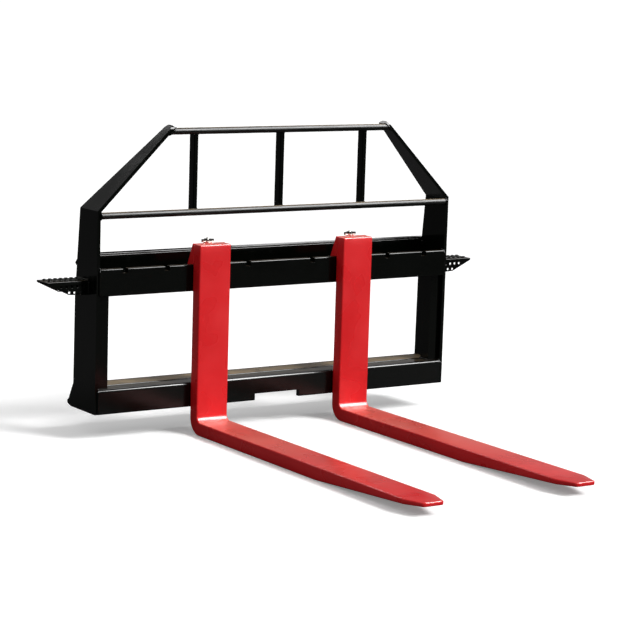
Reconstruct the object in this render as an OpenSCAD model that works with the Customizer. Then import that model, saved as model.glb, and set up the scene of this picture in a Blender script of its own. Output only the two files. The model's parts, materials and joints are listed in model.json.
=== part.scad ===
// Pallet fork attachment for a loader: a welded carriage with a guard and two side steps,
// and two hook-on forks that slide along it and lock in its notches.
// X runs along the fork bars, Y from the blade tips to the coupler, Z up from the ground.

/* [Frame] */
// Width over the two side plates
frame_w = 1190; // [1050:5:1500]
// Thickness of the side plates
side_t = 10; // [8:1:14]
// Height of the tops of the side plates above the upper bar's top edge
guard_rise = 392; // [330:1:470]
// Height of the bend of the side plates above the upper bar's top edge
bend_rise = 161; // [140:1:194]
// Width over the side plates at their top ends
top_w = 724; // [600:2:900]
// Depth of the side plates at their top ends
top_depth = 40; // [34:1:60]
// Depth of the side plates at the bend
bend_depth = 103; // [90:1:120]
// Depth of the side plates beside the lower beam
side_depth = 131; // [128:1:150]
// Radius of the top corners of the side plates
top_r = 14; // [6:1:17]

/* [Carriage] */
// Height of the carriage, from the lower bar's bottom edge to the upper bar's top edge
carriage_h = 407; // [380:1:488]
// Height of the lower bar's bottom edge above the ground
bar_low_z = 76; // [72:1:92]
// Thickness of both fork bars
bar_t = 16; // [15:0.1:20]
// Height of the upper fork bar
upper_bar_h = 76; // [64:1:90]
// Height of the lower fork bar
lower_bar_h = 70; // [62:1:84]
// How far the fork bars stand proud of the side plates' front edges
bar_proud = 4; // [2:1:8]
// Radius of the front edges of the upper fork bar
bar_edge_r = 3; // [1:0.5:5]
// Radius of the top front edge of the lower fork bar
beam_edge_r = 8; // [4:1:12]
// Distance from the middle of the carriage to the first latch notch
first_notch = 109; // [95:1:130]
// Distance between latch notches
notch_pitch = 133; // [105:0.1:140]
// Width of a latch notch
notch_w = 16; // [15.5:0.5:20]
// Depth of a latch notch
notch_depth = 13; // [11:1:16]
// Width of the fork exit notch in the lower bar
exit_w = 152; // [120:2:190]
// Height of the fork exit notch
exit_h = 20; // [14:1:24]
// Depth and height of the box tube behind the lower bar
box_size = 40; // [36:1:48]
// Wall of the box tube and of the post tubes
tube_wall = 5; // [3:0.5:8]
// Width of the post tubes along the bars
post_w = 35; // [30:1:45]
// Height of the post tubes' tops above the upper bar's bottom edge
post_lap = 48; // [20:1:52]

/* [Coupler] */
// Distance of the coupler's back face behind the side plates' front edges
coupler_y = 124; // [112:1:127]
// Thickness of the coupler plates
coupler_t = 10; // [8:1:12]
// Height of the upper coupler plate
coupler_h = 110; // [90:1:120]
// Height of the upper coupler plate's top edge above the upper bar's top edge
coupler_rise = 20; // [12:1:26]
// Reach of the top hook lip behind the coupler's back face
lip_reach = 30; // [22:1:36]
// Length of the lock flange down its slope
flange_len = 50; // [44:1:60]
// Distance between the two lock slots
slot_spacing = 1030; // [940:2:1060]
// Length of a lock slot along the bars
slot_len = 50; // [40:1:60]
// Width of a lock slot from front to back
slot_w = 24; // [20:1:26]
// Thickness of the ribs
rib_t = 10; // [6:1:14]
// Distance of the outer ribs from the inner faces of the side plates
rib_inset = 155; // [120:5:200]
// Distance of the inner ribs from the middle of the carriage
rib_mid = 150; // [110:5:200]

/* [Guard] */
// Diameter of the two guard rails
rail_d = 19; // [16:1:25]
// Height of the top rail's centre below the tops of the side plates
top_rail_drop = 17; // [12:1:22]
// Height of the middle rail's centre below the bend
mid_rail_drop = 14; // [12:1:24]
// Distance of the rails' centres behind the side plates' front edges
rail_y = 4; // [2:0.5:9]
// Distance between the guard bars
guard_pitch = 285; // [220:5:330]
// Thickness of a guard bar
guard_t = 12; // [8:1:16]
// Depth of a guard bar
guard_d = 28; // [24:1:40]

/* [Steps] */
// Reach of a step beyond the side plate
step_reach = 127; // [110:1:160]
// Width of a step tread
step_w = 66; // [60:1:72]
// Height of the tread above the ground
step_z = 447; // [420:1:480]
// Depth of the tread's flanges
step_drop = 40; // [34:1:48]
// Distance of the tread's front edge behind the side plate's front edge
step_y = 46; // [30:1:52]
// Thickness of the tread sheet
step_t = 3; // [2:0.5:4]
// Diameter of the grip holes
grip_d = 7; // [6:0.5:9]
// Distance between grip holes
grip_pitch = 16.5; // [15:0.5:20]

/* [Forks] */
// Width of a fork
fork_w = 101.6; // [90:0.1:130]
// Thickness of a fork
fork_t = 38; // [34:1:46]
// Length of the blade in front of the shank
blade_len = 1070; // [860:5:1290]
// Height of the shank above the upper bar
shank_rise = 59; // [56:1:72]
// Length of the tapered part of the blade
taper_len = 460; // [350:5:560]
// Thickness of the blade's tip
tip_t = 11; // [8:1:16]
// Width of the blade's tip
tip_w = 66; // [44:1:78]
// Length over which the blade's tip narrows
tip_len = 60; // [40:1:120]
// Radius of the blade tip's corners in plan
tip_r = 12; // [8:1:20]
// Outer radius of the heel
heel_r = 48; // [40:1:49]
// Inner radius of the heel
inner_r = 18; // [8:1:26]
// Gap between the upper hook and the top of the bar
hook_lift = 0.5; // [0.3:0.1:1]
// Gap between a hook's lip and the back of the bar
hook_gap = 1.5; // [1:0.1:2]
// Thickness of a hook's lip
hook_lip_t = 13; // [10:1:16]
// Width of the lower hook
lower_hook_w = 50; // [40:1:70]

/* [Fork locks] */
// Diameter of the lock pin's foot
foot_d = 15; // [12:0.5:15]
// Diameter of the lock pin's stem
stem_d = 8; // [6:0.5:8]
// Running clearance of the lock's turning and sliding parts, on the radius
run_gap = 0.05; // [0.02:0.01:0.1]
// Clearance of the lowered foot above the notch's floor
foot_gap = 1; // [0.5:0.5:2]
// Length of the foot
foot_len = 20; // [17:1:22]
// Length of the lever over its two arms
lever_len = 40; // [34:1:60]
// Width of a lever arm
lever_w = 9; // [7:0.5:10]
// Turns of the lock spring
spring_turns = 6; // [4:1:7]
// Diameter of the spring wire
wire_d = 1.6; // [1.2:0.1:1.8]

/* [Hidden] */
$fn = 48;
eps = 0.01;
black = [0.05, 0.05, 0.05];
red = [0.75, 0.1, 0.12];
steel = [0.6, 0.6, 0.62];

// carriage
half_in = frame_w / 2 - side_t;
bar_top = bar_low_z + carriage_h;
frame_top = bar_top + guard_rise;
bend_z = bar_top + bend_rise;
upper_bar_z = bar_top - upper_bar_h;
beam_top = bar_low_z + lower_bar_h;
bar_back = bar_t - bar_proud;
box_z = bar_low_z + exit_h;
box_h = beam_top - box_z;
box_back = bar_back + box_size;
notch_count = 4;
rest_notch = 1;
fork_x = first_notch + rest_notch * notch_pitch;

// side plates
bend_a = atan2(frame_w / 2 - top_w / 2, frame_top - bend_z);
lobe_reach = 35;
lobe_low = 20;

// coupler
web_front = coupler_y - coupler_t;
flange_a = 30;
flange_z = beam_top - 26;
flange_run = flange_len * cos(flange_a);
flange_fall = flange_len * sin(flange_a);
lip_z = bar_top + coupler_rise;
lip_peak = 11;
rib_x = [rib_inset - half_in, -rib_mid, rib_mid, half_in - rib_inset];
rib_room = 12;

// guard
top_rail_z = frame_top - top_rail_drop;
mid_rail_z = bend_z - mid_rail_drop;

// forks
seat_y = -bar_proud;
shank_front = seat_y - fork_t;
shank_top = bar_top + shank_rise;
tip_y = shank_front - blade_len;
lip_depth = 15;
hook_over = bar_t + hook_gap;
hook_back = seat_y + hook_over + hook_lip_t;

// locks
pin_y = seat_y + bar_t / 2;
bore_r = foot_d / 2 + run_gap;
foot_z = bar_top + foot_gap;
pin_drop = notch_depth;
boss_r = 12;
boss_top = shank_top + 1;
spigot_r = 6.5;
spigot_len = 12;
groove_depth = 1.3;
groove_h = 4.4;
spring_top = boss_top - 20;
hub_gap = 0.3;
hub_z = boss_top + hub_gap;
hub_r = 10;
hub_h = 10;
stem_top = hub_z + hub_h + 4;
screw_r = 2;
screw_z = boss_top - spigot_len / 2;

// the whole object is centred on its own box
back_reach = max(coupler_y + flange_run, side_depth + lobe_reach);
centre_y = -(tip_y + back_reach) / 2;

// Points of an arc about a centre, from angle a to angle b
function arc(c, r, a, b, n = 12) =
    [for (i = [0:n]) c + r * [cos(a + (b - a) * i / n), sin(a + (b - a) * i / n)]];

// Shifts a piece from the carriage's datum to the object's own origin
module placed() {
    translate([0, centre_y, 0]) children();
}

// Runs a Y-Z outline along X, centred
module along_x(len) {
    translate([-len / 2, 0, 0]) rotate([90, 0, 90]) linear_extrude(len) children();
}

// Runs an X-Z outline along Y, from y0 to y1
module along_y(y0, y1) {
    translate([0, y1, 0]) rotate([90, 0, 0]) linear_extrude(y1 - y0) children();
}

// Fills or cuts a round corner: the part of a square outside its quarter circle
module corner(r) {
    difference() {
        square(r);
        translate([r, r]) circle(r);
    }
}

// ---------- side plates ----------

// Outline of a side plate seen from the front, for the right side
module side_strip() {
    half = frame_w / 2;
    end = [top_w / 2, frame_top];
    polygon([
        [half, bar_low_z], [half, bend_z], end,
        end - side_t * [cos(bend_a), sin(bend_a)],
        [half_in, bend_z - side_t * tan(bend_a / 2)], [half_in, bar_low_z]
    ]);
}

// Outline of a side plate seen from the side
module side_outline() {
    polygon(concat(
        [[0, bar_low_z]],
        arc([top_r, frame_top - top_r], top_r, 180, 90),
        arc([top_depth - top_r, frame_top - top_r], top_r, 90, 0),
        [[bend_depth, bend_z], [side_depth - 3, upper_bar_z - 17], [side_depth, beam_top]],
        [[side_depth + lobe_reach - 8, bar_low_z + lobe_low]],
        arc([side_depth + lobe_reach - 8, bar_low_z + 12], 8, 30, -60, 4),
        [[side_depth + 12, bar_low_z]]
    ));
}

module side_plate() {
    color(black) intersection() {
        along_y(0, side_depth + lobe_reach + 10) side_strip();
        translate([half_in - frame_w / 2, 0, 0]) along_x(frame_w * 2) side_outline();
    }
}

// ---------- carriage ----------

module post_tube() {
    h = upper_bar_z + post_lap - beam_top;
    color(black) translate([half_in - post_w, bar_back, beam_top]) difference() {
        cube([post_w, box_size, h]);
        translate([tube_wall, tube_wall, -eps])
            cube([post_w - 2 * tube_wall, box_size - 2 * tube_wall, h + 2 * eps]);
    }
}

// Section of a flat bar with its front edges rounded by r_low and r_high
module bar_section(h, r_low, r_high) {
    difference() {
        square([bar_t, h]);
        corner(r_low);
        translate([0, h]) mirror([0, 1]) corner(r_high);
    }
}

module upper_fork_bar() {
    color(black) difference() {
        translate([0, seat_y, upper_bar_z]) along_x(2 * half_in)
            bar_section(upper_bar_h, bar_edge_r, bar_edge_r);
        for (side = [-1, 1], i = [0:notch_count - 1])
            translate([side * (first_notch + i * notch_pitch), pin_y, bar_top])
                cube([notch_w, bar_t + 2, 2 * notch_depth], center = true);
    }
}

module lower_fork_bar() {
    color(black) difference() {
        translate([0, seat_y, bar_low_z]) along_x(2 * half_in)
            bar_section(lower_bar_h, bar_edge_r, beam_edge_r);
        translate([0, pin_y, bar_low_z]) cube([exit_w, bar_t + 2, 2 * exit_h], center = true);
    }
}

module lower_box_tube() {
    color(black) translate([0, bar_back, box_z]) along_x(2 * half_in) difference() {
        square([box_size, box_h]);
        translate([tube_wall, tube_wall]) square([box_size - 2 * tube_wall, box_h - 2 * tube_wall]);
    }
}

module lower_shelf_plate() {
    color(black) translate([0, box_back, beam_top - coupler_t]) along_x(2 * half_in)
        square([web_front - box_back, coupler_t]);
}

// Upright web bent into the lock flange, which falls away at flange_a
module lower_coupler_angle() {
    under = [coupler_t * sin(flange_a), coupler_t * cos(flange_a)];
    tip = [coupler_y + flange_run, flange_z - flange_fall];
    color(black) difference() {
        along_x(2 * half_in) polygon([
            [web_front, beam_top], [coupler_y, beam_top], [coupler_y, flange_z], tip,
            tip - under, [web_front, flange_z - under[1] + 2]
        ]);
        for (side = [-1, 1])
            translate([side * slot_spacing / 2, coupler_y + flange_run / 2 - 1, flange_z - flange_fall])
                lock_slot();
    }
}

// Round-ended slot cut straight down through the flange
module lock_slot() {
    run = slot_len - slot_w;
    translate([0, 0, -2 * coupler_t]) linear_extrude(8 * coupler_t) {
        square([run, slot_w], center = true);
        for (side = [-1, 1]) translate([side * run / 2, 0]) circle(d = slot_w);
    }
}

module upper_coupler_plate() {
    color(black) translate([0, web_front, lip_z - coupler_h]) along_x(2 * half_in)
        square([coupler_t, coupler_h]);
}

// Inverted V over the plate's top edge, with its lip falling back at 45 degrees
module top_hook_lip() {
    reach = lip_reach;
    peak = lip_peak;
    thick = coupler_t * sqrt(2);
    color(black) translate([0, coupler_y, lip_z]) along_x(2 * half_in) polygon([
        [-coupler_t, 0], [-coupler_t, peak - 5], [-coupler_t + 5, peak],
        [-coupler_t + 5 + reach, peak - reach],
        [-coupler_t + 5 + reach - thick / 2, peak - reach - thick / 2],
        [0, peak + 5 - coupler_t - thick], [0, 0]
    ]);
}

// Tie between the upper fork bar and the coupler plate, below the sliding hooks
module upper_rib(x) {
    high = bar_top - lip_depth - rib_room;
    color(black) translate([x, 0, 0]) along_x(rib_t)
        translate([bar_back, upper_bar_z]) square([web_front - bar_back, high - upper_bar_z]);
}

// Tie under the shelf, between the box tube and the coupler angle
module lower_rib(x) {
    color(black) translate([x, 0, 0]) along_x(rib_t) polygon([
        [box_back, box_z], [box_back, beam_top - coupler_t],
        [web_front, beam_top - coupler_t], [web_front, flange_z - 4]
    ]);
}

// ---------- guard ----------

// Space between the inner faces of the two side plates
module between_plates() {
    lean = side_t / cos(bend_a);
    along_y(-rail_d, rail_d + rail_y) polygon([
        [-half_in, bar_low_z], [half_in, bar_low_z],
        [half_in, bend_z - side_t * tan(bend_a / 2)],
        [top_w / 2 - lean, frame_top], [lean - top_w / 2, frame_top],
        [-half_in, bend_z - side_t * tan(bend_a / 2)]
    ]);
}

module rail(z) {
    color(black) intersection() {
        translate([-frame_w / 2, rail_y, z]) rotate([0, 90, 0]) cylinder(h = frame_w, d = rail_d);
        between_plates();
    }
}

// Flat bar on edge behind the rails' centres, coped to fit both rails
module guard_bar(x) {
    color(black) difference() {
        translate([x - guard_t / 2, rail_y + 1, mid_rail_z])
            cube([guard_t, guard_d, top_rail_z - mid_rail_z]);
        for (z = [mid_rail_z, top_rail_z])
            translate([x - guard_t, rail_y, z]) rotate([0, 90, 0])
                cylinder(h = 2 * guard_t, d = rail_d);
    }
}

// ---------- steps ----------

// Outline of a tread flange seen from the front, deepest beside the plate
module flange_outline() {
    x0 = frame_w / 2;
    polygon([
        [x0, step_z - step_drop], [x0 + 0.48 * step_reach, step_z - 0.93 * step_drop],
        [x0 + step_reach, step_z - 2 * step_t], [x0 + step_reach, step_z], [x0, step_z]
    ]);
}

// Rows of grip holes along X, each row shifted by half a pitch from the last
module grip_row(n, shift) {
    for (i = [0:n - 1])
        translate([frame_w / 2 + grip_pitch * (0.75 + i + shift), 0]) circle(d = grip_d, $fn = 24);
}

module step_tread() {
    x0 = frame_w / 2;
    n = floor(step_reach / grip_pitch);
    rows = floor((step_w - grip_d) / grip_pitch);
    edge = (step_w - (rows - 1) * grip_pitch) / 2;
    color(black) difference() {
        union() {
            translate([x0, step_y, step_z - step_t]) cube([step_reach, step_w, step_t]);
            along_y(step_y, step_y + step_t) flange_outline();
            along_y(step_y + step_w - step_t, step_y + step_w) flange_outline();
        }
        for (k = [0:rows - 1])
            translate([0, step_y + edge + k * grip_pitch, step_z - 2 * step_t])
                linear_extrude(3 * step_t) grip_row(n - k % 2, k % 2 / 2);
        along_y(step_y - 1, step_y + step_w + 1) {
            translate([0, step_z - 0.36 * step_drop]) grip_row(n - 2, 0.34);
            translate([0, step_z - 0.77 * step_drop]) grip_row(floor(n / 2), 0.85);
        }
    }
}

// ---------- forks ----------

// Side outline of the fork: shank, heel and a blade whose underside tapers to the tip
module fork_outline() {
    difference() {
        polygon([
            [seat_y, 0], [seat_y, shank_top], [shank_front, shank_top], [shank_front, fork_t],
            [tip_y, fork_t], [tip_y, fork_t - tip_t], [tip_y + taper_len, 0]
        ]);
        translate([seat_y, 0]) mirror([1, 0]) corner(heel_r);
    }
    translate([shank_front, fork_t]) mirror([1, 0]) corner(inner_r);
}

// Plan of the fork, narrowing to rounded corners at the tip
module fork_plan() {
    w = fork_w / 2;
    slant = atan2(tip_len, w - tip_w / 2);
    c = [tip_w / 2 - tip_r * 0.9, tip_y + tip_r];
    right = arc(c, tip_r, -90, 90 - slant, 8);
    polygon(concat(
        [[w, seat_y + 1], [-w, seat_y + 1], [-w, tip_y + tip_len]],
        [for (i = [len(right) - 1:-1:0]) [-right[i][0], right[i][1]]],
        right, [[w, tip_y + tip_len]]
    ));
}

module fork_arm() {
    color(red) intersection() {
        along_x(fork_w) fork_outline();
        translate([0, 0, -1]) linear_extrude(shank_top + 2) fork_plan();
    }
}

// Hook over the upper bar, with the boss that guides the lock pin
module upper_hook() {
    under = bar_top + hook_lift;
    color(red) difference() {
        union() {
            along_x(fork_w) polygon([
                [seat_y, under], [seat_y + hook_over, under],
                [seat_y + hook_over, bar_top - lip_depth], [hook_back, bar_top - lip_depth],
                [hook_back, bar_top - 2], [seat_y + 4, shank_top], [seat_y, shank_top]
            ]);
            intersection() {
                translate([0, pin_y, under]) cylinder(h = boss_top - under, r = boss_r);
                translate([-boss_r, seat_y, under]) cube([2 * boss_r, 2 * boss_r, shank_rise + 2]);
            }
        }
        translate([0, pin_y, 0]) {
            translate([0, 0, under - 1]) cylinder(h = spring_top - under + 1, r = bore_r);
            cylinder(h = boss_top + 1, r = stem_d / 2 + run_gap);
            translate([0, 0, boss_top - spigot_len]) cylinder(h = spigot_len + 1, r = spigot_r + run_gap);
        }
        translate([0, pin_y, screw_z]) rotate([-90, 0, 0]) cylinder(h = 2 * boss_r, r = screw_r);
    }
}

module lever_screw() {
    inner = spigot_r - groove_depth + 0.2;
    color(steel) translate([0, pin_y + inner, screw_z]) rotate([-90, 0, 0])
        cylinder(h = boss_r - inner - 0.5, r = screw_r);
}

module lower_hook() {
    gap = 3;
    back = seat_y + bar_t + hook_gap;
    color(red) along_x(lower_hook_w) polygon([
        [seat_y, heel_r + 1], [seat_y, bar_low_z - gap], [back, bar_low_z - gap],
        [back, bar_low_z + exit_h / 2], [back + hook_lip_t, bar_low_z + exit_h / 2],
        [back + hook_lip_t, heel_r + 7], [back + hook_lip_t - 6, heel_r + 1]
    ]);
}

// Foot that drops in the notch, and the stem that carries the lever
module lock_pin() {
    color(steel) translate([0, pin_y, foot_z]) {
        difference() {
            cylinder(h = foot_len, d = foot_d);
            rotate_extrude() translate([foot_d / 2, 0]) rotate(45) square(2, center = true);
        }
        cylinder(h = stem_top - foot_z, d = stem_d);
    }
}

// One swept ring of points per step along the helix
module lock_spring() {
    low = foot_z + foot_len;
    mean_r = (bore_r + stem_d / 2) / 2;
    wire_r = wire_d / 2;
    rings = 14 * spring_turns;
    sides = 6;
    rise = spring_top - low - wire_d;
    pts = [
        for (i = [0:rings], k = [0:sides - 1])
            let (turn = 360 * spring_turns * i / rings, a = 360 * k / sides)
            let (r = mean_r + wire_r * cos(a), z = low + wire_r + rise * i / rings + wire_r * sin(a))
            [r * cos(turn), r * sin(turn), z]
    ];
    walls = [
        for (i = [0:rings - 1], k = [0:sides - 1])
            let (a = i * sides + k, b = i * sides + (k + 1) % sides)
            [a, a + sides, b + sides, b]
    ];
    ends = [[for (k = [0:sides - 1]) k], [for (k = [sides - 1:-1:0]) rings * sides + k]];
    color(steel) translate([0, pin_y, 0]) polyhedron(pts, concat(walls, ends));
}

// T lever on a hub, with the spigot that turns in the boss
module lock_lever() {
    reach = (lever_len - lever_w) / 2;
    color(black) translate([0, pin_y, 0]) difference() {
        union() {
            translate([0, 0, hub_z]) cylinder(h = hub_h, r = hub_r);
            translate([0, 0, hub_z - spigot_len]) cylinder(h = spigot_len + 1, r = spigot_r);
            translate([-reach, -lever_w / 2, hub_z + 1]) cube([2 * reach, lever_w, hub_h - 2]);
            for (side = [-1, 1])
                translate([side * reach, 0, hub_z + 1]) cylinder(h = hub_h - 2, d = lever_w);
        }
        translate([0, 0, hub_z - spigot_len - 1])
            cylinder(h = spigot_len + hub_h + 2, r = stem_d / 2 + run_gap);
        translate([0, 0, screw_z - groove_h / 2]) difference() {
            cylinder(h = groove_h, r = spigot_r + 1);
            cylinder(h = groove_h, r = spigot_r - groove_depth);
        }
    }
}

// ---------- the two sides ----------

module on_left() {
    placed() mirror([1, 0, 0]) children();
}

module fork_place(side) {
    placed() translate([side * fork_x, 0, 0]) children();
}

on_left() side_plate();  // left_side_plate
placed() side_plate();  // right_side_plate
on_left() post_tube();  // left_post_tube
placed() post_tube();  // right_post_tube
placed() upper_fork_bar();
placed() lower_fork_bar();
placed() lower_box_tube();
placed() lower_shelf_plate();
placed() lower_coupler_angle();
placed() upper_coupler_plate();
placed() top_hook_lip();
placed() upper_rib(rib_x[0]);  // upper_rib_1
placed() upper_rib(rib_x[1]);  // upper_rib_2
placed() upper_rib(rib_x[2]);  // upper_rib_3
placed() upper_rib(rib_x[3]);  // upper_rib_4
placed() lower_rib(rib_x[0]);  // lower_rib_1
placed() lower_rib(rib_x[1]);  // lower_rib_2
placed() lower_rib(rib_x[2]);  // lower_rib_3
placed() lower_rib(rib_x[3]);  // lower_rib_4
placed() rail(top_rail_z);  // top_rail
placed() rail(mid_rail_z);  // mid_rail
placed() guard_bar(-guard_pitch);  // left_guard_bar
placed() guard_bar(0);  // centre_guard_bar
placed() guard_bar(guard_pitch);  // right_guard_bar
on_left() step_tread();  // left_step_tread
placed() step_tread();  // right_step_tread
fork_place(-1) fork_arm();  // left_fork_arm
fork_place(1) fork_arm();  // right_fork_arm
fork_place(-1) upper_hook();  // left_upper_hook
fork_place(1) upper_hook();  // right_upper_hook
fork_place(-1) lower_hook();  // left_lower_hook
fork_place(1) lower_hook();  // right_lower_hook
fork_place(-1) lock_pin();  // left_lock_pin
fork_place(1) lock_pin();  // right_lock_pin
fork_place(-1) lock_spring();  // left_lock_spring
fork_place(1) lock_spring();  // right_lock_spring
fork_place(-1) lock_lever();  // left_lock_lever
fork_place(1) lock_lever();  // right_lock_lever
fork_place(-1) lever_screw();  // left_lever_screw
fork_place(1) lever_screw();  // right_lever_screw
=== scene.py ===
# %% [markdown]
# # Pallet forks on a loader carriage
# This lesson dresses a finished CAD model. The carriage, the guard, the steps and the latches
# come in at their true sizes. We give them soft edges, paint and weld beads, and we rebuild
# the two forks as smooth surfaces, because a forging has no sharp corner anywhere.

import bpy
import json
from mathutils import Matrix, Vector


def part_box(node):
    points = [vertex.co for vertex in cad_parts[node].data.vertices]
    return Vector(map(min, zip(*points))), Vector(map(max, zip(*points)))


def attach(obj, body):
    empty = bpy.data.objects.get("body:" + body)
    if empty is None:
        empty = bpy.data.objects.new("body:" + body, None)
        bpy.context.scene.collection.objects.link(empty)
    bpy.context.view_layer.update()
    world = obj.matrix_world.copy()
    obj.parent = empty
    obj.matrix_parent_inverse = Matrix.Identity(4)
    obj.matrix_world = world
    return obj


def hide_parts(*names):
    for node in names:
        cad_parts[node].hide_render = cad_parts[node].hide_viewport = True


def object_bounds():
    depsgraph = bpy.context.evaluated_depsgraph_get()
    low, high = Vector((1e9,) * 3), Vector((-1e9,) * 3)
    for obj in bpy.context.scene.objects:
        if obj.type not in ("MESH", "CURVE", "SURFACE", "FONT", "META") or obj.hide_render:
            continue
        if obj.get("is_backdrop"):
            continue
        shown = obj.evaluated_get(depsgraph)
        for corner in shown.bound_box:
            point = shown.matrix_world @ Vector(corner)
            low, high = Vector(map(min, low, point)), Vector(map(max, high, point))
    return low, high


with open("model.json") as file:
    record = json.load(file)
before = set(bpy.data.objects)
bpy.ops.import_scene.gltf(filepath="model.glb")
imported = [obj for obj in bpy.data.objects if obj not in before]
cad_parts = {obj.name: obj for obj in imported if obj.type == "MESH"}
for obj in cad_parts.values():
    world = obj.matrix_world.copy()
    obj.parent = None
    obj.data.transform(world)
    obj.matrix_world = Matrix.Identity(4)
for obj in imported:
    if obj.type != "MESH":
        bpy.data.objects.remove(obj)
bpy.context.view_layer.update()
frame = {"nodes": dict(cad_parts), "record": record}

# %% [markdown]
# ## Tools
# The functions that make shapes work in millimetres, as on a drawing, and MM brings their
# points to Blender's metres. Paint patterns, lights and camera are in metres from the start.

# %% Tools of the lesson
import json
import math

import bpy
import numpy as np

scene = bpy.context.scene
MM = 0.001
nodes = frame["nodes"]

# %% [markdown]
# ## Paint as a small graph of nodes
# Every finish here starts with the same few parts: noise for uneven colour, noise for uneven
# gloss, and fine noise for the bumps that sprayed paint dries with. They could be separate
# graphs for each piece. A short helper that wires one node into another keeps them readable.

# %% Helpers for node graphs
def new_material(name):
    """An empty material with its Principled shader and its graph."""
    made = bpy.data.materials.new(name)
    made.use_nodes = True
    graph = made.node_tree
    return made, graph, graph.nodes["Principled BSDF"]


def add(graph, kind, values=None, **settings):
    """Adds one node, sets its properties, then its input values by name or number."""
    node = graph.nodes.new(kind)
    for key, value in settings.items():
        setattr(node, key, value)
    for key, value in (values or {}).items():
        node.inputs[key].default_value = value
    return node


def ramp(graph, source, low, high, a=0.0, b=1.0):
    """Maps source from low..high to a..b, clamped, on a straight line."""
    node = add(graph, "ShaderNodeMapRange", {1: low, 2: high, 3: a, 4: b})
    graph.links.new(source, node.inputs[0])
    return node.outputs[0]


def blend_colours(graph, share, first, second):
    """Mixes two colours; share 0 gives the first. Each is a colour or an output."""
    node = add(graph, "ShaderNodeMix", data_type="RGBA")
    graph.links.new(share, node.inputs["Factor"])
    for socket, value in ((node.inputs[6], first), (node.inputs[7], second)):
        if isinstance(value, tuple):
            socket.default_value = (*value, 1)
        else:
            graph.links.new(value, socket)
    return node.outputs[2]


def product(graph, a, b):
    """Multiplies two numbers."""
    node = add(graph, "ShaderNodeMath", operation="MULTIPLY")
    graph.links.new(a, node.inputs[0])
    graph.links.new(b, node.inputs[1])
    return node.outputs[0]


def noise(graph, scale, detail=3.0, rough=0.5):
    """Noise on the object's own coordinates, so it stays put when the piece moves."""
    place = add(graph, "ShaderNodeTexCoord")
    node = add(graph, "ShaderNodeTexNoise", {"Scale": scale, "Detail": detail, "Roughness": rough})
    graph.links.new(place.outputs["Object"], node.inputs["Vector"])
    return node.outputs[0]


def facing_up(graph):
    """1 where the surface faces the sky, 0 on walls and undersides."""
    normal = add(graph, "ShaderNodeNewGeometry").outputs["True Normal"]
    split = add(graph, "ShaderNodeSeparateXYZ")
    graph.links.new(normal, split.inputs[0])
    return ramp(graph, split.outputs[2], 0.75, 0.97)


def bumps(graph, shader, layers):
    """Stacks bump layers, each a height output, a distance in metres and a strength."""
    last = None
    for height, distance, strength in layers:
        node = add(graph, "ShaderNodeBump", {"Distance": distance, "Strength": strength})
        graph.links.new(height, node.inputs["Height"])
        if last:
            graph.links.new(last, node.inputs["Normal"])
        last = node.outputs[0]
    graph.links.new(last, shader.inputs["Normal"])


print("graph helpers ready")

# %% [markdown]
# ## Black gloss enamel
# The carriage is hot rolled plate under black enamel. Three things keep it from looking like
# plastic: the plate's slow waviness, the fine orange peel of the spray, and a tan film on what
# faces up, which is partly yard dust and partly a painted reflection of brown surroundings. A
# clear coat over a dull base would give the gloss too, but one layer with uneven roughness
# reflects the room in the broken way that real enamel does.

# %% Black enamel
def black_enamel(name, dust_and_sheen, smooth=0.08, rough=0.17, shine=0.17):
    """Black paint; the second argument is the share of tan film on faces that look up, part dust
    and part painted reflection.

    Roughness wanders between smooth and rough, and shine is how strongly the coat mirrors.
    """
    made, g, shader = new_material(name)
    darker, lighter = (0.0006, 0.0010, 0.0006), (0.0014, 0.0019, 0.0014)
    # The tan colour on faces that look up is partly dust and partly a painted reflection of brown
    # surroundings.
    sparkle, tan_dust_and_sheen, dust_roughness = (0.022, 0.023, 0.020), (0.36, 0.265, 0.155), 0.62
    deep = blend_colours(g, ramp(g, noise(g, 5.0), 0.3, 0.7), darker, lighter)
    patches = ramp(g, noise(g, 9.0, 5.0, 0.62), 0.30, 0.62, 0.25 * dust_and_sheen, dust_and_sheen)
    # Share of tan on top faces: a painted reflection mixed with dust, broken up by noise.
    tan_dust_and_sheen_share = product(g, facing_up(g), patches)
    speck = ramp(g, noise(g, 260.0, 2.0), 0.68, 0.76, 0.0, 0.22)
    flecked = blend_colours(g, speck, deep, sparkle)
    g.links.new(blend_colours(g, tan_dust_and_sheen_share, flecked, tan_dust_and_sheen), shader.inputs["Base Color"])
    gloss = ramp(g, noise(g, 14.0, 4.0), 0.3, 0.72, smooth, rough)
    matt = add(g, "ShaderNodeMix", data_type="FLOAT", values={3: dust_roughness})
    g.links.new(tan_dust_and_sheen_share, matt.inputs["Factor"])
    g.links.new(gloss, matt.inputs[2])
    g.links.new(matt.outputs[0], shader.inputs["Roughness"])
    shader.inputs["Specular IOR Level"].default_value = shine
    bumps(g, shader, [(noise(g, 7.0, 1.0), 0.004, 0.10), (noise(g, 420.0, 1.0), 0.0002, 0.16)])
    return made


enamel = black_enamel("black_enamel", 0.10)
# Shelf and rails get more of the tan film on top: partly dust, partly painted reflection.
dusty_sheen_enamel = black_enamel("dusty_sheen_black_enamel", 0.74)
rail_enamel = black_enamel("worn_sheen_black_enamel", 0.55, 0.30, 0.44)
beam_enamel = black_enamel("thick_black_enamel", 0.02, 0.15, 0.21, 0.30)
print("four black enamels made")

# %% [markdown]
# ## Red gloss enamel
# The forks are the bright part. Their enamel is a warm red with faint lighter clouds where
# the coat went on thicker. A pale film lies on the top of the blade, thickest at the heel: it is
# partly dust and partly a painted reflection of the bright sky at a grazing angle. The paint is
# rubbed thin towards the tips, which slide under pallets. Both could be painted by hand. Ramps
# along the blade, broken up by noise, do it here and stay right if the blade's length changes.

# %% Red enamel
tip_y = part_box("left_fork_arm")[0].y
seat_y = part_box("left_fork_arm")[1].y


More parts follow.
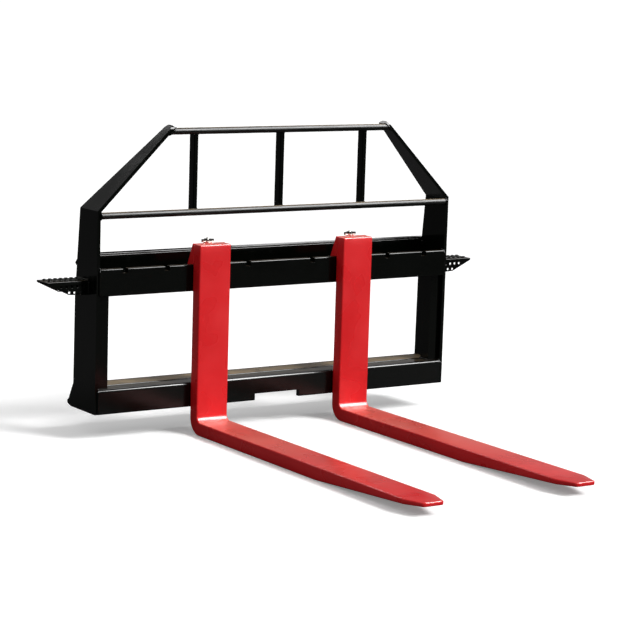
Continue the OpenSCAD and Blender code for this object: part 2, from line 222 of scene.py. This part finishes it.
def red_enamel():
    """Red paint in lighter clouds, pale on top near the heel from dust and a painted reflection,
    and scuffed near the tip.
    """
    made, g, shader = new_material("red_enamel")
    deep_red, bright_red = (0.62, 0.009, 0.012), (0.71, 0.014, 0.018)
    # The pale colour on the blade's top is partly dust and partly a painted reflection of the sky.
    worn, pale_dust_and_sheen = (0.34, 0.17, 0.15), (0.92, 0.56, 0.38)
    clouds = ramp(g, noise(g, 6.0, 1.5), 0.3, 0.72)
    coat = blend_colours(g, clouds, deep_red, bright_red)
    place = add(g, "ShaderNodeTexCoord")
    split = add(g, "ShaderNodeSeparateXYZ")
    g.links.new(place.outputs["Object"], split.inputs[0])
    near_tip = ramp(g, split.outputs[1], tip_y + 0.30, tip_y + 0.02)
    stretch = add(g, "ShaderNodeMapping", {"Scale": (90.0, 6.0, 90.0)})
    streak = add(g, "ShaderNodeTexNoise", {"Scale": 1.0, "Detail": 4.0, "Roughness": 0.6})
    g.links.new(place.outputs["Object"], stretch.inputs[0])
    g.links.new(stretch.outputs[0], streak.inputs["Vector"])
    lines = ramp(g, streak.outputs[0], 0.55, 0.72, 0.0, 0.5)
    scuff = product(g, product(g, near_tip, facing_up(g)), lines)
    bare = blend_colours(g, scuff, coat, worn)
    near_heel = ramp(g, split.outputs[1], tip_y + 0.10, seat_y - 0.12, 0.04, 1.0)
    thin = product(g, near_heel, ramp(g, noise(g, 5.0, 1.5), 0.3, 0.7, 0.12, 0.24))
    # Pale on faces that look up, strongest at the heel: painted reflection mixed with dust.
    dust_and_sheen = product(g, facing_up(g), thin)
    g.links.new(blend_colours(g, dust_and_sheen, bare, pale_dust_and_sheen), shader.inputs["Base Color"])
    g.links.new(ramp(g, noise(g, 12.0, 1.5), 0.3, 0.7, 0.24, 0.34), shader.inputs["Roughness"])
    shader.inputs["Specular IOR Level"].default_value = 0.38
    bumps(g, shader, [(noise(g, 6.0, 1.0), 0.002, 0.10), (noise(g, 380.0, 1.0), 0.0002, 0.18)])
    return made


red = red_enamel()
print("red enamel made; the blade runs from y", round(tip_y, 3), "to", round(seat_y, 3))

# %% [markdown]
# ## Zinc plated steel
# The levers, pins, springs and screws are plated. Zinc is a soft grey metal with a blotchy
# sheen, so it is the same Principled shader at metallic 1 with uneven colour and roughness.

# %% Zinc plate
def zinc_colour(g):
    """The cloudy grey of the plating, for the zinc parts and the bare half of the levers."""
    cloud = ramp(g, noise(g, 60.0, 4.0), 0.3, 0.7)
    return blend_colours(g, cloud, (0.55, 0.54, 0.50), (0.80, 0.79, 0.74))


def zinc_plate():
    """Plated steel with cloudy colour and fine turning marks."""
    made, g, shader = new_material("zinc_plate")
    g.links.new(zinc_colour(g), shader.inputs["Base Color"])
    g.links.new(ramp(g, noise(g, 90.0, 3.0), 0.3, 0.7, 0.25, 0.45), shader.inputs["Roughness"])
    shader.inputs["Metallic"].default_value = 1.0
    bumps(g, shader, [(noise(g, 900.0, 1.0), 0.0001, 0.2)])
    return made


zinc = zinc_plate()
print("zinc plate made")

# %% [markdown]
# ## A lever dipped in paint
# The top of each lock lever is black over bright plating. It could be two pieces, but one
# material keeps the lever whole: height decides between paint and zinc, and a little noise
# makes the line between them ragged, as dipping does.

# %% Dipped lever
def dipped_lever():
    """Zinc below, black paint above a ragged line half way up the lever."""
    made, g, shader = new_material("dipped_lever")
    painted_depth, wander, fade = 0.0052, 0.0010, 0.0004
    black = (0.003, 0.003, 0.003)
    place = add(g, "ShaderNodeTexCoord")
    split = add(g, "ShaderNodeSeparateXYZ")
    g.links.new(place.outputs["Object"], split.inputs[0])
    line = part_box("left_lock_lever")[1].z - painted_depth
    ragged = add(g, "ShaderNodeMath", operation="ADD")
    g.links.new(split.outputs[2], ragged.inputs[0])
    g.links.new(ramp(g, noise(g, 150.0, 3.0), 0.3, 0.7, -wander, wander), ragged.inputs[1])
    painted = ramp(g, ragged.outputs[0], line - fade, line + fade)
    g.links.new(blend_colours(g, painted, zinc_colour(g), black), shader.inputs["Base Color"])
    g.links.new(ramp(g, painted, 0.0, 1.0, 1.0, 0.0), shader.inputs["Metallic"])
    g.links.new(ramp(g, noise(g, 90.0, 3.0), 0.3, 0.7, 0.30, 0.48), shader.inputs["Roughness"])
    shader.inputs["Specular IOR Level"].default_value = 0.25
    bumps(g, shader, [(noise(g, 900.0, 1.0), 0.0001, 0.2)])
    return made


lever_finish = dipped_lever()
print("lever finish made")

# %% [markdown]
# ## Soft edges on the plates
# No cut plate has a perfectly sharp edge: the saw or torch leaves it, the grinder breaks it
# and the paint rounds it. That narrow strip is what catches the light along every edge. The
# CAD meshes are loose triangles, so a Weld modifier joins them before a Bevel rounds them.

# %% Break the edges of the CAD pieces
JOIN_WITHIN = 0.00002  # metres between points that are one corner
FLAT_WITHIN, SHARP_OVER = 0.5, 40  # degrees between faces


def dress(name, material, edge, flatten=False):
    """Gives a CAD node its paint and a rounded edge of the given width in millimetres.

    flatten first joins the triangles of each flat face, so a bevel leaves no crease across it.
    """
    piece = nodes[name]
    piece.data.materials.clear()
    piece.data.materials.append(material)
    join = piece.modifiers.new("join", "WELD")
    join.merge_threshold = JOIN_WITHIN
    if flatten:
        merge = piece.modifiers.new("flatten", "DECIMATE")
        merge.decimate_type = "DISSOLVE"
        merge.angle_limit = math.radians(FLAT_WITHIN)
    if edge:
        soften = piece.modifiers.new("soften", "BEVEL")
        soften.width = edge * MM
        soften.segments = 3
        soften.limit_method = "ANGLE"
        soften.angle_limit = math.radians(SHARP_OVER)
        soften.harden_normals = True
        soften.use_clamp_overlap = True
    return piece


members = frame["record"]["behaviour"]["bodies"]
edges = {"rail": 0.0, "side_plate": 1.6, "post_tube": 2.0, "fork_bar": 1.2, "guard_bar": 1.4,
         "rib": 0.8, "tread": 1.2}
other_edge = 1.0
paints = {"rail": rail_enamel, "lower_shelf_plate": dusty_sheen_enamel, "lower_fork_bar": beam_enamel}
dressed = []
for name in members["frame"]:
    width = next((w for word, w in edges.items() if word in name), other_edge)
    paint = paints.get(name.removeprefix("top_").removeprefix("mid_"), enamel)
    dressed.append(dress(name, paint, width))
for side in ("left", "right"):
    dressed.append(dress(side + "_upper_hook", red, 1.2, flatten=True))
    dressed.append(dress(side + "_lower_hook", red, 1.2))
    dressed.append(dress(side + "_lock_lever", lever_finish, 0.6))
    for part in ("lock_pin", "lock_spring", "lever_screw"):
        dressed.append(dress(f"{side}_{part}", zinc, 0.0))
broken = sum("soften" in piece.modifiers for piece in dressed)
print("paint on", len(dressed), "pieces, edges broken on", broken)

# %% [markdown]
# ## A mesh from a grid of points
# Each new surface is a grid: one direction runs along the piece and the other runs round it.
# We work out all the points at once as an array, and the faces follow from their numbers.

# %% Grid to mesh
def grid_faces(rows, cols, closed_rows=False, start=0):
    """Quads of a grid whose columns close on themselves; rows may close as well."""
    r = np.arange(rows if closed_rows else rows - 1)[:, None]
    c = np.arange(cols)[None, :]
    low, high = r * cols, (r + 1) % rows * cols
    right = (c + 1) % cols
    quads = np.stack([low + c, low + right, high + right, high + c], -1)
    return (quads.reshape(-1, 4) + start).tolist()


def mesh_piece(name, points, faces, material, body, smooth=True):
    """Puts points and faces in a mesh whose object stays at the origin, riding on a body."""
    data = bpy.data.meshes.new(name)
    data.from_pydata(points.reshape(-1, 3).tolist(), [], faces)
    data.materials.append(material)
    data.polygons.foreach_set("use_smooth", np.full(len(data.polygons), smooth))
    data.validate()
    data.update()
    made = bpy.data.objects.new(name, data)
    scene.collection.objects.link(made)
    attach(made, body)
    return made


print("grid tools ready")

# %% [markdown]
# ## The fork: one bar, bent and drawn out
# A fork is forged from a flat bar: the heel is bent, the blade is drawn thinner from below
# and its tip is cut narrower. So we carry a rounded rectangle along two rails, the outer
# and the inner line of the bend, and let its width shrink near the tip. A box with a Bevel
# would round the edges too, but not the heel, and the taper would need cuts by hand.

# %% Rails and widths of the fork
# In millimetres: thickness, outer and inner bend radius, length of the taper, then the tip.
FORK = dict(thick=38.0, heel=48.0, bend=18.0, taper=460.0,
            tip_thick=11.0, tip_half=33.0, tip_len=60.0, tip_r=12.0)


def fork_rails(top, seat, tip):
    """Outer and inner lines of the fork in its Y-Z plane, in millimetres, point by point.

    Both go down the shank, round a quarter circle, then out along the blade. The outer line
    is flat, then rises in a straight line to the tip; the inner line stays level.
    """
    f = FORK
    reach = f["thick"] + f["bend"]
    down = np.unique(np.concatenate([[0, 0.8, 2.2], np.linspace(4, top - reach, 26)]))
    turn = np.radians(np.linspace(0, 90, 25))
    length = seat - reach - tip
    rounding = length - f["tip_r"] * (1 - np.sin(np.linspace(0, np.pi / 2, 12)))
    out = np.concatenate([np.linspace(0, length - f["tip_r"], 40)[:-1], rounding])
    front = seat - f["thick"]
    in_run, out_run = 1 - np.cos(turn), 1 - np.sin(turn)
    shank, blade = top - down, seat - reach - out
    outer_y = np.concatenate([np.full(len(down), seat), seat - f["heel"] * in_run, blade])
    outer_z = np.concatenate([shank, f["heel"] * out_run, np.zeros(len(out))])
    inner_y = np.concatenate([np.full(len(down), front), front - f["bend"] * in_run, blade])
    inner_z = np.concatenate([shank, f["thick"] + f["bend"] * out_run,
                              np.full(len(out), f["thick"])])
    rise = np.clip((tip + f["taper"] - outer_y) / f["taper"], 0, 1)
    outer_z = np.where(outer_y < tip + f["taper"], rise * (f["thick"] - f["tip_thick"]), outer_z)
    return np.stack([outer_y, outer_z], -1), np.stack([inner_y, inner_z], -1)


def tip_width(y, tip, half):
    """Half the fork's width at y: full, then a straight taper, then a rounded corner."""
    f = FORK
    centre = f["tip_half"] - 0.9 * f["tip_r"]
    slant = np.arctan2(f["tip_len"], half - f["tip_half"])
    corner = np.pi / 2 - slant
    join = np.array([centre + f["tip_r"] * np.cos(corner),
                     tip + f["tip_r"] * (1 + np.sin(corner))])
    straight = join[0] + (y - join[1]) * (half - join[0]) / (tip + f["tip_len"] - join[1])
    drop = np.clip(y - tip - f["tip_r"], -f["tip_r"], f["tip_r"])
    round_part = centre + np.sqrt(np.maximum(f["tip_r"] ** 2 - drop ** 2, 0))
    return np.minimum(half, np.where(y < join[1], round_part, straight))


example_outer, example_inner = fork_rails(top=542.0, seat=-4.0, tip=-1112.0)
print("fork rails:", len(example_outer), "stations")

# %% [markdown]
# The section is the same at every station but for its size. So one function gives its outline
# for all the stations at once, and the sweep only lays each outline across the two rails.

# %% Sweep the fork
def rounded_rectangle(half_w, half_t, radius, steps=6):
    """Corner points of a rounded rectangle for each station, as share of width and depth.

    Each corner is a quarter circle of the given radius; the four are laid end to end.
    """
    turn = np.linspace(0, np.pi / 2, steps)
    a = np.concatenate([turn + k * np.pi / 2 for k in range(4)])
    sx = np.repeat([1, -1, -1, 1], steps)
    sy = np.repeat([1, 1, -1, -1], steps)
    x = sx * (half_w - radius)[:, None] + radius[:, None] * np.cos(a)
    y = sy * (half_t - radius)[:, None] + radius[:, None] * np.sin(a)
    return x, y


def rim_shrink(distance, radius):
    """How much a section shrinks near an end: the sagitta of a quarter circle."""
    return radius - np.sqrt(radius ** 2 - np.clip(radius - distance, 0, radius) ** 2)


def forged_fork(side, edge=4.5, top_rim=4.0, tip_rim=3.0):
    """The fork as a rounded rectangle carried between its two rails, closed at both ends.

    Near each end the section shrinks by a quarter circle's sagitta, which rounds the end's rim.
    """
    low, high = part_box(side + "_fork_arm")
    middle = (low.x + high.x) / 2
    half = (high.x - low.x) / 2 / MM
    outer, inner = fork_rails(high.z / MM, high.y / MM, low.y / MM)
    width = tip_width((outer[:, 0] + inner[:, 0]) / 2, low.y / MM, half)
    across = inner - outer
    depth = np.linalg.norm(across, axis=1)
    lip = rim_shrink(high.z / MM - inner[:, 1], top_rim)
    lip += rim_shrink(inner[:, 0] - low.y / MM, tip_rim)
    radius = np.minimum(edge, depth * 0.32)
    x, t = rounded_rectangle(width - lip, depth / 2 - lip, np.maximum(radius - lip, 0.6))
    centre = (outer + inner) / 2
    along = across / depth[:, None]
    y = centre[:, :1] + t * along[:, :1]
    z = centre[:, 1:] + t * along[:, 1:]
    points = np.stack([x * MM + middle, y * MM, z * MM], -1)
    rows, cols = points.shape[:2]
    faces = grid_faces(rows, cols)
    faces += [list(range(cols - 1, -1, -1)), list(range((rows - 1) * cols, rows * cols))]
    made = mesh_piece(side + "_forged_fork", points, faces, red, side + "_fork")
    made.data.set_sharp_from_angle(angle=math.radians(35))
    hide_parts(side + "_fork_arm")
    return made


forks = [forged_fork(side) for side in ("left", "right")]
print("forks swept:", [len(f.data.polygons) for f in forks], "faces")

# %% [markdown]
# ## Weld beads
# The plates are joined by welds, and a weld shows as a rippled half round bead in the
# corner. It could be a bump in the paint, but then its outline stays straight. Here it is a
# small tube carried along the joint, whose radius swells and sinks with each ripple.

# %% Bead along a path
def bead(path, radius=3.2, ripple=2.6, sides=8, spacing=1.3):
    """Points and faces of a rippled tube along a path given in millimetres.

    The path is cut into short even steps; each ring's radius is the bead's radius times one
    plus two small sines of the distance run, and the two ends close down to a small cap.
    """
    path = np.asarray(path, float)
    step = np.linalg.norm(np.diff(path, axis=0), axis=1)
    run = np.concatenate([[0], np.cumsum(step)])
    count = max(6, int(run[-1] / spacing))
    s = np.linspace(0, run[-1], count)
    line = np.stack([np.interp(s, run, path[:, k]) for k in range(3)], -1)
    ahead = np.gradient(line, axis=0)
    ahead /= np.linalg.norm(ahead, axis=1)[:, None]
    guide = np.where(np.abs(ahead[:, 2:]) < 0.8, [[0.0, 0.0, 1.0]], [[1.0, 0.0, 0.0]])
    first = np.cross(ahead, guide)
    first /= np.linalg.norm(first, axis=1)[:, None]
    second = np.cross(ahead, first)
    ends = np.clip(np.minimum(s, run[-1] - s) / radius, 0.12, 1)
    swell = 0.10 * np.sin(2 * np.pi * s / ripple)
    r = radius * np.sqrt(ends) * (1 + swell + 0.06 * np.sin(s / 7.0 + 1.3))
    a = np.linspace(0, 2 * np.pi, sides, endpoint=False)
    ring = first[:, None] * np.cos(a)[None, :, None] + second[:, None] * np.sin(a)[None, :, None]
    points = line[:, None] + ring * r[:, None, None]
    faces = grid_faces(count, sides)
    faces += [list(range(sides - 1, -1, -1)), list(range((count - 1) * sides, count * sides))]
    return points.reshape(-1, 3) * MM, faces


def weld_piece(name, paths, material, body, radius=3.2):
    """All the beads of one group in a single piece."""
    points, faces, start = [], [], 0
    for path in paths:
        p, f = bead(path, radius)
        points.append(p)
        faces += [[i + start for i in face] for face in f]
        start += len(p)
    made = mesh_piece(name, np.concatenate(points), faces, material, body)
    return made


def corners(name):
    """Lowest and highest corner of a CAD node in millimetres."""
    low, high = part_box(name)
    return np.array(low) / MM, np.array(high) / MM


print("bead of 76 mm:", len(bead([[0, 0, 0], [0, 0, 76]])[0]), "points")

# %% [markdown]
# Next come the joints themselves. Every path is worked out from the boxes of the two pieces
# that meet there, so a bead always lies in its corner. The small offsets, all in millimetres,
# set a bead into that corner and keep its ends short of the plate's edge.

# %% Carriage welds
def upright(x, y, low_z, high_z):
    """A straight path up a corner, from one height to another."""
    return [[x, y, low_z], [x, y, high_z]]


def mirrored(paths):
    """The same paths on the other side of the middle plane."""
    return [[[-p[0], p[1], p[2]] for p in path] for path in paths]


def carriage_paths():
    """Joints of the right half: both bars, post, coupler plates, step, to the side plate."""
    paths = []
    for name in ("upper_fork_bar", "lower_fork_bar"):
        low, high = corners(name)
        x, front, back = high[0], low[1], high[1]
        paths.append(upright(x + 1, front + 2.5, low[2] + 3, high[2] - 3))
        paths.append([[x - 1, front + 5, high[2] + 0.5], [x - 1, back, high[2] + 0.5]])
    low, high = corners("right_post_tube")
    z = low[2] + 1
    paths.append([[low[0] - 0.5, low[1] + 2, z], [low[0] - 0.5, high[1] + 0.5, z],
                  [high[0] - 3, high[1] + 0.5, z]])
    paths.append(upright(high[0] - 0.5, high[1] + 0.5, low[2] + 4, high[2] - 4))
    low, high = corners("upper_coupler_plate")
    paths.append(upright(high[0] - 0.5, low[1] - 0.5, low[2] + 2, high[2] - 2))
    paths.append(upright(high[0] - 0.5, high[1] + 0.5, low[2] + 2, high[2] - 40))
    low, high = corners("lower_coupler_angle")
    x = high[0] - 0.5
    paths.append([[x, high[1] - 42, high[2] - 3], [x, high[1] - 42, high[2] - 24],
                  [x, high[1] - 6, high[2] - 45]])
    low, high = corners("right_step_tread")
    x, z = low[0] + 0.5, high[2] + 0.3
    paths.append([[x, low[1] + 1, z], [x, high[1] - 1, z]])
    paths.append(upright(x, low[1] - 0.3, low[2] + 3, high[2] - 2))
    paths.append(upright(x, high[1] + 0.3, low[2] + 3, high[2] - 2))
    return paths


right_paths = carriage_paths()
for side, paths in (("right", right_paths), ("left", mirrored(right_paths))):
    weld_piece(side + "_carriage_welds", paths, enamel, "frame")
print(len(right_paths), "joints on each side")

# %% [markdown]
# The guard's round rails need round beads: a full ring where a rail meets a side plate, and
# a quarter of one at each face of a guard bar.

# %% Guard welds
def ring_path(x, y, z, radius, start=0, stop=360, lean=0.0):
    """A circle round a rail; lean shifts x with height so that it lies on a sloping plate."""
    a = np.radians(np.linspace(start, stop, 28))
    high = radius * np.cos(a)
    return np.stack([x - lean * high, y + radius * np.sin(a), z + high], -1)


def guard_paths():
    """Rail ends on the right plate, and both ends of every guard bar."""
    paths = []
    for name in ("top_rail", "mid_rail"):
        low, high = corners(name)
        y, z, radius = (low[1] + high[1]) / 2, (low[2] + high[2]) / 2, (high[2] - low[2]) / 2
        lean = 0.99 if name == "top_rail" else 0.0
        end = high[0] - (radius * lean) - 1.0
        for side in (1, -1):
            paths.append(ring_path(end, y, z, radius + 0.6, lean=lean) * [side, 1, 1])
        for bar in ("left", "centre", "right"):
            b_low, b_high = corners(bar + "_guard_bar")
            arc = (95, 178) if name == "top_rail" else (2, 85)
            for x in (b_low[0] - 0.3, b_high[0] + 0.3):
                paths.append(ring_path(x, y, z, radius + 0.4, *arc))
    return paths


guard_joints = guard_paths()
weld_piece("guard_welds", guard_joints, enamel, "frame", radius=2.3)
print(len(guard_joints), "joints on the guard")

# %% [markdown]
# The back is where the loader holds the carriage, so its joints are long: the hook lip along
# its plate, every upper rib on both faces, and the edge of the shelf.

# %% Coupler and rib welds
def back_paths():
    """Long joints at the back: hook lip, both sides of every upper rib, and the shelf."""
    paths = []
    low, high = corners("upper_coupler_plate")
    lip_low, lip_high = corners("top_hook_lip")
    y, z = low[1] - 0.4, high[2] + 0.5
    paths.append([[lip_low[0] + 6, y, z], [lip_high[0] - 6, y, z]])
    for k in range(1, 5):
        low, high = corners(f"upper_rib_{k}")
        for x in (low[0] - 0.4, high[0] + 0.4):
            paths.append(upright(x, high[1] - 0.6, low[2] + 4, high[2] - 4))
            paths.append(upright(x, low[1] + 0.6, low[2] + 3, high[2] - 3))
    low, high = corners("lower_shelf_plate")
    paths.append([[low[0] + 8, low[1], high[2] - 0.6], [high[0] - 8, low[1], high[2] - 0.6]])
    return paths


back_joints = back_paths()
weld_piece("coupler_welds", back_joints, enamel, "frame", radius=2.4)
print(len(back_joints), "joints at the back")

# %% [markdown]
# The hooks are red and ride with their forks, so their beads are a piece of their own on
# each fork's body.

# %% Hook welds
for side in ("left", "right"):
    low, high = corners(side + "_upper_hook")
    hook_low, hook_high = corners(side + "_lower_hook")
    seat = corners(side + "_fork_arm")[1][1]
    paths = [upright(x, seat, high[2] - 58, high[2] - 6)
             for x in (low[0] + 1.2, high[0] - 1.2)]
    paths += [upright(x, seat + 1.0, hook_low[2] + 2, hook_low[2] + 22)
              for x in (hook_low[0] - 0.5, hook_high[0] + 0.5)]
    weld_piece(side + "_hook_welds", paths, red, side + "_fork", radius=2.2)
print("hooks welded to their forks")

# %% [markdown]
# ## Grip buttons on the steps
# Each hole of the step is drawn up into a rough collar that a boot can bite on. A collar is a
# small profile turned round the hole. All the collars of a step share one mesh, and each has
# only a few dozen faces, because there are many of them.

# %% Collars of the grip holes
def collars(centres, out, first, second, radius=3.5, rise=4.0, sides=12):
    """Turned collars: a profile of radius and height, carried round every hole at once.

    out is the direction they stand up in; first and second span the sheet.
    """
    sunk = -0.4
    profile = np.array([[radius + 3.8, sunk], [radius + 2.2, 0.7 * rise], [radius + 1.1, rise],
                        [radius, 0.6 * rise], [radius, sunk]])
    a = np.linspace(0, 2 * np.pi, sides, endpoint=False)
    circle = np.cos(a)[None, :, None] * first + np.sin(a)[None, :, None] * second
    ring = profile[:, None, :1] * circle + profile[:, None, 1:] * out
    rows, cols = ring.shape[:2]
    points = centres[:, None, None, :] + ring[None]
    one = np.array(grid_faces(rows, cols, closed_rows=True))
    faces = (one[None] + (np.arange(len(centres)) * rows * cols)[:, None, None]).reshape(-1, 4)
    return points.reshape(-1, 3) * MM, faces.tolist()


def grip_centres(side):
    """Centres of the tread's holes, in rows with every other row shifted half a pitch."""
    low, high = corners(side + "_step_tread")
    pitch, hole = 16.5, 7.0
    reach, wide = high[0] - low[0], high[1] - low[1]
    rows = int((wide - hole) // pitch)
    edge = (wide - (rows - 1) * pitch) / 2
    count = int(reach // pitch)
    spots = []
    for k in range(rows):
        x = pitch * (0.75 + np.arange(count - k % 2) + (k % 2) / 2)
        x = low[0] + x if side == "right" else high[0] - x
        y = np.full(len(x), low[1] + edge + k * pitch)
        spots.append(np.stack([x, y, np.full(len(x), high[2])], -1))
    return np.concatenate(spots)


right_way, back_way, up_way = np.eye(3)
for side in ("left", "right"):
    centres = grip_centres(side)
    points, faces = collars(centres, up_way, right_way, back_way)
    made = mesh_piece(side + "_step_collars", points, faces, enamel, "frame")
print(len(centres), "collars on each step")

# %% [markdown]
# ## Floor, light and camera
# A studio floor is a wide pale sheet. To the camera the floor and the backdrop are nearly white,
# but what they throw back on the piece is weaker, so that black paint over a white floor
# stays black.

# %% Floor
def pale_floor():
    """A wide flat sheet just under the forks, with a faint mottle in its white."""
    made, g, shader = new_material("studio_floor")
    cloud = ramp(g, noise(g, 0.7, 3.0), 0.3, 0.7)
    seen = blend_colours(g, cloud, (0.90, 0.90, 0.90), (0.94, 0.94, 0.94))
    straight = add(g, "ShaderNodeLightPath").outputs["Is Camera Ray"]
    g.links.new(blend_colours(g, straight, (0.07, 0.07, 0.07), seen), shader.inputs["Base Color"])
    shader.inputs["Emission Color"].default_value = (1, 1, 1, 1)
    g.links.new(ramp(g, straight, 0.0, 1.0, 0.0, 0.22), shader.inputs["Emission Strength"])
    shader.inputs["Roughness"].default_value = 0.9
    shader.inputs["Specular IOR Level"].default_value = 0.1
    span, level = 60.0, -0.0006
    data = bpy.data.meshes.new("floor")
    square = [(-span, -span), (span, -span), (span, span), (-span, span)]
    data.from_pydata([(x, y, level) for x, y in square], [], [(0, 1, 2, 3)])
    data.materials.append(made)
    floor = bpy.data.objects.new("floor", data)
    scene.collection.objects.link(floor)
    floor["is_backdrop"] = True
    return floor


pale_floor()
world = bpy.data.worlds.new("studio")
world.use_nodes = True
sky = world.node_tree
straight = add(sky, "ShaderNodeLightPath").outputs["Is Camera Ray"]
fill, backdrop = 0.27, 1.0
sky.links.new(ramp(sky, straight, 0.0, 1.0, fill, backdrop), sky.nodes["Background"].inputs[1])
sky.nodes["Background"].inputs[0].default_value = (1.0, 1.0, 1.0, 1)
scene.world = world
scene.view_settings.view_transform = "Standard"
print("floor laid")

# %% [markdown]
# A broad key stands high in front on the right and leaves the forks' left sides in shade. Two
# weak strips lift the dark side and the back edges. Black enamel shows mostly what it
# mirrors, so a wide box hangs in front only to be seen in the gloss. A real lamp would light
# the red paint too; this one is hidden from diffuse light and leaves only its reflection.

# %% Lights
from mathutils import Matrix, Vector


def soft_light(name, place, aim, size, power):
    """A rectangular area light at a place, turned to face its aim."""
    data = bpy.data.lights.new(name, "AREA")
    data.shape = "RECTANGLE"
    data.size, data.size_y = size
    data.energy = power
    lamp = bpy.data.objects.new(name, data)
    aimed = (Vector(aim) - Vector(place)).to_track_quat("-Z", "Y").to_matrix().to_4x4()
    lamp.matrix_world = Matrix.Translation(place) @ aimed
    scene.collection.objects.link(lamp)
    return lamp


def broad_key(direction, strength, spread):
    """A distant light, soft by its spread in degrees, so the floor is lit the same all over."""
    data = bpy.data.lights.new("key", "SUN")
    data.energy = strength
    data.angle = math.radians(spread)
    lamp = bpy.data.objects.new("key", data)
    lamp.matrix_world = Vector(direction).to_track_quat("Z", "Y").to_matrix().to_4x4()
    scene.collection.objects.link(lamp)
    return lamp


broad_key(direction=(0.42, -0.62, 0.66), strength=3.3, spread=24)
soft_light("strip_left", place=(-2.6, -1.6, 2.4), aim=(-0.2, 0.4, 0.5),
           size=(0.35, 2.2), power=16)
soft_light("strip_back", place=(-0.4, 3.0, 2.6), aim=(0, 0.4, 0.6),
           size=(3.0, 0.4), power=22)
mirrored_box = soft_light("box_front", place=(1.8, -1.0, 2.75), aim=(0, 0.47, 0.45),
                          size=(4.2, 2.2), power=850)
mirrored_box.visible_diffuse = False
print("four lights hung; the box in front is only seen in the gloss")

# %% [markdown]
# ## Camera
# The camera stands in front on the left, half a metre above the guard, and looks slightly down.
# Its bearing, tilt and roll are given as angles, because they read better than a matrix.

# %% Camera
def stand_camera(place, yaw, pitch, roll, focal, middle):
    """A camera that looks along a compass bearing, tipped and rolled, all in degrees.

    focal is in image widths; middle is where the lens axis meets the image, from its centre.
    """
    y, p, r = np.radians([yaw, pitch, roll])
    ahead = np.array([np.sin(y) * np.cos(p), np.cos(y) * np.cos(p), np.sin(p)])
    level = np.array([np.cos(y), -np.sin(y), 0])
    above = np.cross(level, ahead)
    right = np.cos(r) * level + np.sin(r) * above
    up = np.cos(r) * above - np.sin(r) * level
    data = bpy.data.cameras.new("camera")
    data.sensor_width = 36.0
    data.lens = 36.0 * focal
    data.shift_x, data.shift_y = middle
    data.clip_start, data.clip_end = 0.1, 200.0
    made = bpy.data.objects.new("camera", data)
    turn = np.eye(4)
    turn[:3, 0], turn[:3, 1], turn[:3, 2], turn[:3, 3] = right, up, -ahead, place
    made.matrix_world = Matrix(turn.tolist())
    scene.collection.objects.link(made)
    scene.camera = made
    return made


SHIFT_Y = 0.4723494  # metres that the drawing was moved back to centre the part
FRAME, MIDDLE = 626, 313  # width and middle of the image, in the units of the three values below
FOCAL, AXIS_ACROSS, AXIS_DOWN = 2294.593, 315.784, 331.139
stand_camera(place=(-3.529915, -5.520906 + SHIFT_Y, 1.371481),
             yaw=33.544, pitch=-9.484, roll=1.786, focal=FOCAL / FRAME,
             middle=((MIDDLE - AXIS_ACROSS) / FRAME, (AXIS_DOWN - MIDDLE) / FRAME))
print("camera set")

# %% [markdown]
# ## Finish
# Last, the box of the dressed model is printed. It should agree with the box of the CAD,
# because dressing must not make the part bigger.

# %% Finish
low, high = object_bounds()
print("visual box, metres:", [round(v, 4) for v in high - low])
